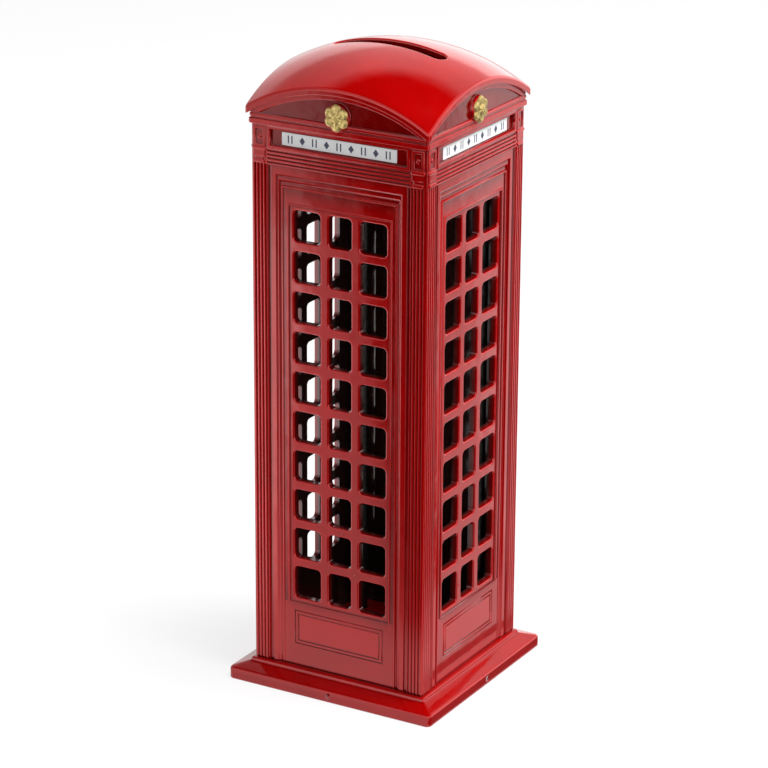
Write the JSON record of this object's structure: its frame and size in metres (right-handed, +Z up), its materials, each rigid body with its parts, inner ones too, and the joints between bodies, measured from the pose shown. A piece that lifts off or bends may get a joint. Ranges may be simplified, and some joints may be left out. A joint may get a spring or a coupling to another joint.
{
  "type": "telephone kiosk money box",
  "caption": "Die-cast money box shaped like a telephone kiosk, with a coin slot in its domed roof, open lattice windows and a pull-out stopper underneath.",
  "frame": {"origin": "centre of the plinth's underside, on the surface the box stands on", "axes": "+Z up along the box's upright axis, -Y out of the front face, +X to the viewer's right of the front, along the coin slot"},
  "size_m": [0.065, 0.065, 0.181],
  "materials": {
    "red_enamel": "thick glossy baked enamel over a zinc casting",
    "label_card": "satin white vinyl label",
    "gilt": "pale gilt, slightly worn",
    "stopper_rubber": "soft black rubber",
    "screw_steel": "zinc-plated steel"
  },
  "bodies": {
    "box": {"plinth": "red_enamel", "front_wall": "red_enamel", "right_wall": "red_enamel", "back_wall": "red_enamel", "left_wall": "red_enamel", "roof": "red_enamel", "tie_screws": "screw_steel", "screw_washers": "screw_steel", "front_label": "label_card", "right_label": "label_card", "back_label": "label_card", "left_label": "label_card", "front_rosette": "gilt", "right_rosette": "gilt", "back_rosette": "gilt", "left_rosette": "gilt"},
    "stopper": {"coin_stopper": "stopper_rubber"}
  },
  "joints": [
    {"name": "stopper_pull", "type": "slide", "parent": "box", "child": "stopper", "axis": [0, 0, -1], "range_m": [0, 0.012]}
  ]
}
